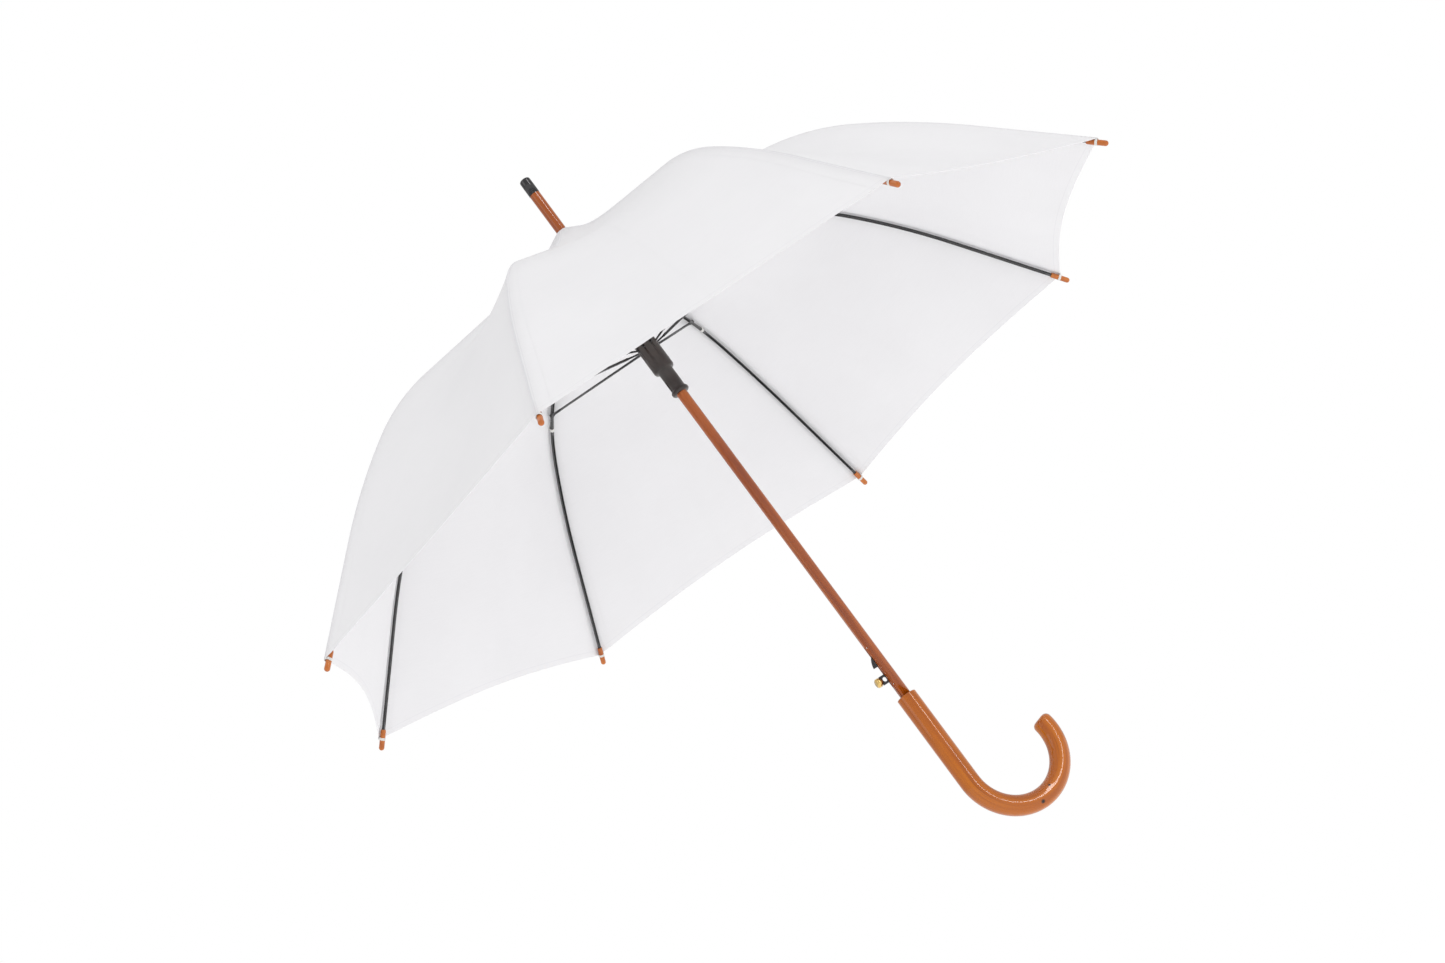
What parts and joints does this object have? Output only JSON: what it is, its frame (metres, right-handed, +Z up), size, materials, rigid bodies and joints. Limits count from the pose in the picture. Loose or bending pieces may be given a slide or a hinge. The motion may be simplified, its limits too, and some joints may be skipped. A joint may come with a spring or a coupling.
{
  "type": "stick umbrella",
  "caption": "Stick umbrella with a domed white cloth canopy on folding black steel ribs, a varnished wooden shaft with a push-button catch, and a crook handle.",
  "frame": {"origin": "on the shaft axis, halfway along the straight grip of the handle", "axes": "+Z runs up the shaft to the point, +X is the side that the crook bends to, and the catch is on the -X side"},
  "size_m": [1.018, 1.018, 0.878],
  "materials": {
    "canopy_cloth": "matt woven polyester, white with a cool tint",
    "rib_steel": "black enamelled steel, satin gloss",
    "tip_wood": "varnished, orange-brown",
    "shaft_wood": "high-gloss varnish over straight-grained wood",
    "handle_wood": "high-gloss varnish over bent wood with small knots",
    "cap_metal": "black gloss enamel",
    "runner_plastic": "dark brown-black moulded plastic, satin",
    "catch_metal": "blackened spring steel",
    "button_brass": "polished, a little dulled",
    "spring_steel": "bright drawn wire"
  },
  "bodies": {
    "root": {"shaft": "shaft_wood", "handle": "handle_wood", "ferrule_cap": "cap_metal", "top_notch": "runner_plastic", "notch_wire": "spring_steel", "spring_anchor_pin": "spring_steel", "opening_spring": "spring_steel", "catch_keeper_pins": "spring_steel", "catch_spring": "spring_steel"},
    "catch": {"catch_hook": "catch_metal", "release_button": "button_brass"},
    "runner": {"runner": "runner_plastic", "runner_wire": "spring_steel", "drive_pin": "spring_steel"},
    "rib_1": {"inner_rib_1": "rib_steel", "canopy_panel_1": "canopy_cloth"},
    "rib_end_1": {"outer_rib_1": "rib_steel", "rib_tip_1": "tip_wood"},
    "stretcher_1": {"stretcher_1": "rib_steel"},
    "rib_2": {"inner_rib_2": "rib_steel", "canopy_panel_2": "canopy_cloth"},
    "rib_end_2": {"outer_rib_2": "rib_steel", "rib_tip_2": "tip_wood"},
    "stretcher_2": {"stretcher_2": "rib_steel"},
    "rib_3": {"inner_rib_3": "rib_steel", "canopy_panel_3": "canopy_cloth"},
    "rib_end_3": {"outer_rib_3": "rib_steel", "rib_tip_3": "tip_wood"},
    "stretcher_3": {"stretcher_3": "rib_steel"},
    "rib_4": {"inner_rib_4": "rib_steel", "canopy_panel_4": "canopy_cloth"},
    "rib_end_4": {"outer_rib_4": "rib_steel", "rib_tip_4": "tip_wood"},
    "stretcher_4": {"stretcher_4": "rib_steel"},
    "rib_5": {"inner_rib_5": "rib_steel", "canopy_panel_5": "canopy_cloth"},
    "rib_end_5": {"outer_rib_5": "rib_steel", "rib_tip_5": "tip_wood"},
    "stretcher_5": {"stretcher_5": "rib_steel"},
    "rib_6": {"inner_rib_6": "rib_steel", "canopy_panel_6": "canopy_cloth"},
    "rib_end_6": {"outer_rib_6": "rib_steel", "rib_tip_6": "tip_wood"},
    "stretcher_6": {"stretcher_6": "rib_steel"},
    "rib_7": {"inner_rib_7": "rib_steel", "canopy_panel_7": "canopy_cloth"},
    "rib_end_7": {"outer_rib_7": "rib_steel", "rib_tip_7": "tip_wood"},
    "stretcher_7": {"stretcher_7": "rib_steel"},
    "rib_8": {"inner_rib_8": "rib_steel", "canopy_panel_8": "canopy_cloth"},
    "rib_end_8": {"outer_rib_8": "rib_steel", "rib_tip_8": "tip_wood"},
    "stretcher_8": {"stretcher_8": "rib_steel"}
  },
  "joints": [
    {"name": "fold_1", "type": "hinge", "parent": "root", "child": "rib_1", "pos_m": [0.01043, 0.00121, 0.661], "axis": [-0.1149, 0.9934, 0], "range_deg": [0, 66.5], "stiffness_Nm_per_rad": 0.25, "springref_deg": -68.75, "deforming": ["canopy_panel_1", "opening_spring", "catch_hook"]},
    {"name": "fold_2", "type": "hinge", "parent": "root", "child": "rib_2", "pos_m": [0.00652, 0.00823, 0.661], "axis": [-0.7837, 0.6211, 0], "range_deg": [0, 66.5], "stiffness_Nm_per_rad": 0.25, "springref_deg": -68.75, "deforming": ["canopy_panel_2"]},
    {"name": "fold_3", "type": "hinge", "parent": "root", "child": "rib_3", "pos_m": [-0.00121, 0.01043, 0.661], "axis": [-0.9934, -0.1149, 0], "range_deg": [0, 66.5], "stiffness_Nm_per_rad": 0.25, "springref_deg": -68.75, "deforming": ["canopy_panel_3"]},
    {"name": "fold_4", "type": "hinge", "parent": "root", "child": "rib_4", "pos_m": [-0.00823, 0.00652, 0.661], "axis": [-0.6211, -0.7837, 0], "range_deg": [0, 66.5], "stiffness_Nm_per_rad": 0.25, "springref_deg": -68.75, "deforming": ["canopy_panel_4"]},
    {"name": "fold_5", "type": "hinge", "parent": "root", "child": "rib_5", "pos_m": [-0.01043, -0.00121, 0.661], "axis": [0.1149, -0.9934, 0], "range_deg": [0, 66.5], "stiffness_Nm_per_rad": 0.25, "springref_deg": -68.75, "deforming": ["canopy_panel_5"]},
    {"name": "fold_6", "type": "hinge", "parent": "root", "child": "rib_6", "pos_m": [-0.00652, -0.00823, 0.661], "axis": [0.7837, -0.6211, 0], "range_deg": [0, 66.5], "stiffness_Nm_per_rad": 0.25, "springref_deg": -68.75, "deforming": ["canopy_panel_6"]},
    {"name": "fold_7", "type": "hinge", "parent": "root", "child": "rib_7", "pos_m": [0.00121, -0.01043, 0.661], "axis": [0.9934, 0.1149, 0], "range_deg": [0, 66.5], "stiffness_Nm_per_rad": 0.25, "springref_deg": -68.75, "deforming": ["canopy_panel_7"]},
    {"name": "fold_8", "type": "hinge", "parent": "root", "child": "rib_8", "pos_m": [0.00823, -0.00652, 0.661], "axis": [0.6211, 0.7837, 0], "range_deg": [0, 66.5], "stiffness_Nm_per_rad": 0.25, "springref_deg": -68.75, "deforming": ["canopy_panel_8"]},
    {"name": "flex_1", "type": "hinge", "parent": "rib_1", "child": "rib_end_1", "pos_m": [0.27458, 0.03177, 0.58339], "axis": [-0.1149, 0.9934, 0], "range_deg": [-19, 0], "stiffness_Nm_per_rad": 1},
    {"name": "flex_2", "type": "hinge", "parent": "rib_2", "child": "rib_end_2", "pos_m": [0.17169, 0.21662, 0.58339], "axis": [-0.7837, 0.6211, 0], "range_deg": [-19, 0], "stiffness_Nm_per_rad": 1},
    {"name": "flex_3", "type": "hinge", "parent": "rib_3", "child": "rib_end_3", "pos_m": [-0.03177, 0.27458, 0.58339], "axis": [-0.9934, -0.1149, 0], "range_deg": [-19, 0], "stiffness_Nm_per_rad": 1},
    {"name": "flex_4", "type": "hinge", "parent": "rib_4", "child": "rib_end_4", "pos_m": [-0.21662, 0.17169, 0.58339], "axis": [-0.6211, -0.7837, 0], "range_deg": [-19, 0], "stiffness_Nm_per_rad": 1},
    {"name": "flex_5", "type": "hinge", "parent": "rib_5", "child": "rib_end_5", "pos_m": [-0.27458, -0.03177, 0.58339], "axis": [0.1149, -0.9934, 0], "range_deg": [-19, 0], "stiffness_Nm_per_rad": 1},
    {"name": "flex_6", "type": "hinge", "parent": "rib_6", "child": "rib_end_6", "pos_m": [-0.17169, -0.21662, 0.58339], "axis": [0.7837, -0.6211, 0], "range_deg": [-19, 0], "stiffness_Nm_per_rad": 1},
    {"name": "flex_7", "type": "hinge", "parent": "rib_7", "child": "rib_end_7", "pos_m": [0.03177, -0.27458, 0.58339], "axis": [0.9934, 0.1149, 0], "range_deg": [-19, 0], "stiffness_Nm_per_rad": 1},
    {"name": "flex_8", "type": "hinge", "parent": "rib_8", "child": "rib_end_8", "pos_m": [0.21662, -0.17169, 0.58339], "axis": [0.6211, 0.7837, 0], "range_deg": [-19, 0], "stiffness_Nm_per_rad": 1},
    {"name": "link_1", "type": "hinge", "parent": "rib_1", "child": "stretcher_1", "pos_m": [0.25397, 0.02939, 0.59099], "axis": [-0.1149, 0.9934, 0], "range_deg": [-132.99, 0]},
    {"name": "link_2", "type": "hinge", "parent": "rib_2", "child": "stretcher_2", "pos_m": [0.15881, 0.20037, 0.59099], "axis": [-0.7837, 0.6211, 0], "range_deg": [-132.99, 0]},
    {"name": "link_3", "type": "hinge", "parent": "rib_3", "child": "stretcher_3", "pos_m": [-0.02939, 0.25397, 0.59099], "axis": [-0.9934, -0.1149, 0], "range_deg": [-132.99, 0]},
    {"name": "link_4", "type": "hinge", "parent": "rib_4", "child": "stretcher_4", "pos_m": [-0.20037, 0.15881, 0.59099], "axis": [-0.6211, -0.7837, 0], "range_deg": [-132.99, 0]},
    {"name": "link_5", "type": "hinge", "parent": "rib_5", "child": "stretcher_5", "pos_m": [-0.25397, -0.02939, 0.59099], "axis": [0.1149, -0.9934, 0], "range_deg": [-132.99, 0]},
    {"name": "link_6", "type": "hinge", "parent": "rib_6", "child": "stretcher_6", "pos_m": [-0.15881, -0.20037, 0.59099], "axis": [0.7837, -0.6211, 0], "range_deg": [-132.99, 0]},
    {"name": "link_7", "type": "hinge", "parent": "rib_7", "child": "stretcher_7", "pos_m": [0.02939, -0.25397, 0.59099], "axis": [0.9934, 0.1149, 0], "range_deg": [-132.99, 0]},
    {"name": "link_8", "type": "hinge", "parent": "rib_8", "child": "stretcher_8", "pos_m": [0.20037, -0.15881, 0.59099], "axis": [0.6211, 0.7837, 0], "range_deg": [-132.99, 0]},
    {"name": "runner_pivot", "type": "hinge", "parent": "stretcher_1", "child": "runner", "pos_m": [0.01043, 0.00121, 0.52098], "axis": [-0.1149, 0.9934, 0], "range_deg": [0, 66.5]},
    {"name": "catch_press", "type": "slide", "parent": "root", "child": "catch", "axis": [1, 0, 0], "range_m": [0, 0.0053], "stiffness_N_per_m": 250, "springref_m": -0.002, "deforming": ["catch_spring"]}
  ],
  "couplings": [
    {"joint": "fold_2", "follows": "fold_1", "ratio": 1},
    {"joint": "fold_3", "follows": "fold_1", "ratio": 1},
    {"joint": "fold_4", "follows": "fold_1", "ratio": 1},
    {"joint": "fold_5", "follows": "fold_1", "ratio": 1},
    {"joint": "fold_6", "follows": "fold_1", "ratio": 1},
    {"joint": "fold_7", "follows": "fold_1", "ratio": 1},
    {"joint": "fold_8", "follows": "fold_1", "ratio": 1},
    {"joint": "flex_1", "follows": "fold_1", "ratio": -0.28573},
    {"joint": "flex_2", "follows": "fold_1", "ratio": -0.28573},
    {"joint": "flex_3", "follows": "fold_1", "ratio": -0.28573},
    {"joint": "flex_4", "follows": "fold_1", "ratio": -0.28573},
    {"joint": "flex_5", "follows": "fold_1", "ratio": -0.28573},
    {"joint": "flex_6", "follows": "fold_1", "ratio": -0.28573},
    {"joint": "flex_7", "follows": "fold_1", "ratio": -0.28573},
    {"joint": "flex_8", "follows": "fold_1", "ratio": -0.28573},
    {"joint": "link_1", "follows": "fold_1", "ratio": -2},
    {"joint": "link_2", "follows": "fold_1", "ratio": -2},
    {"joint": "link_3", "follows": "fold_1", "ratio": -2},
    {"joint": "link_4", "follows": "fold_1", "ratio": -2},
    {"joint": "link_5", "follows": "fold_1", "ratio": -2},
    {"joint": "link_6", "follows": "fold_1", "ratio": -2},
    {"joint": "link_7", "follows": "fold_1", "ratio": -2},
    {"joint": "link_8", "follows": "fold_1", "ratio": -2},
    {"joint": "runner_pivot", "follows": "fold_1", "ratio": 1}
  ]
}
